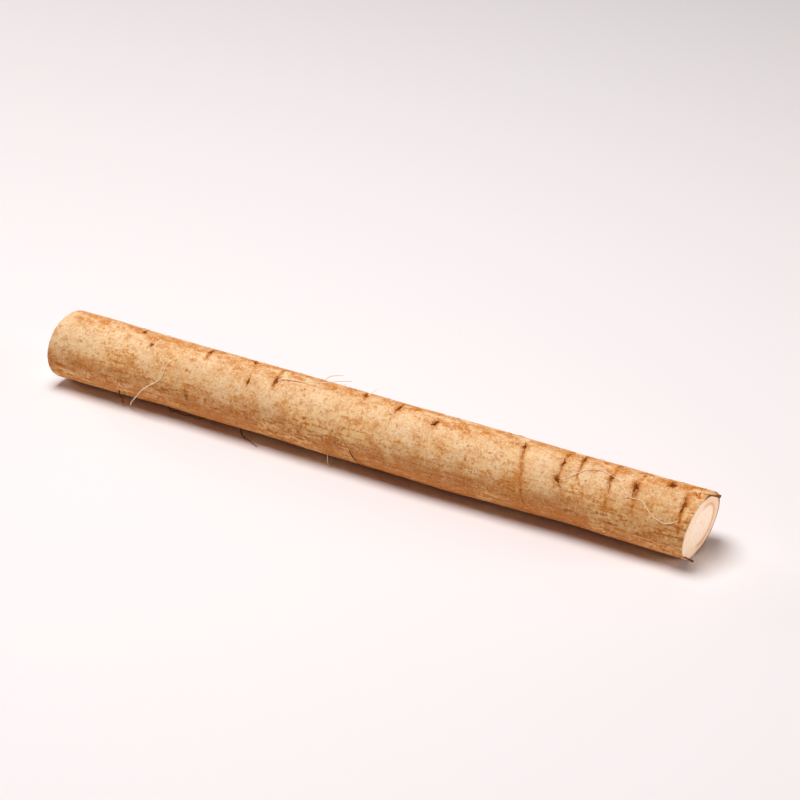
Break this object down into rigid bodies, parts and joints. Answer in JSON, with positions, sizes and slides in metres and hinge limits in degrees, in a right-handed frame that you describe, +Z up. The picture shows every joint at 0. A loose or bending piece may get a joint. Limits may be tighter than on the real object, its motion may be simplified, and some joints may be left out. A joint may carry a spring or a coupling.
{
  "type": "burdock root",
  "caption": "Slender burdock root lying on its side, with tan bark-like skin, growth rings, root scars and fine rootlets, cut across with a knife at both ends.",
  "frame": {"origin": "middle of the narrow flat that the root rests on, under the middle of its length", "axes": "+X along the root from its slightly thicker upper end to its thinner end, +Z up from the surface it lies on, -Y the side that faces the viewer"},
  "size_m": [0.309, 0.0344, 0.0383],
  "materials": {
    "skin": "matt, dry, finely wrinkled tan skin with brown scars",
    "flesh": "matt, moist cream cut flesh",
    "rootlet": "matt, pale fine roots",
    "dark_fibre": "matt, dark brown dried root fibre"
  },
  "bodies": {
    "root": {"burdock_root": "skin"}
  },
  "joints": []
}
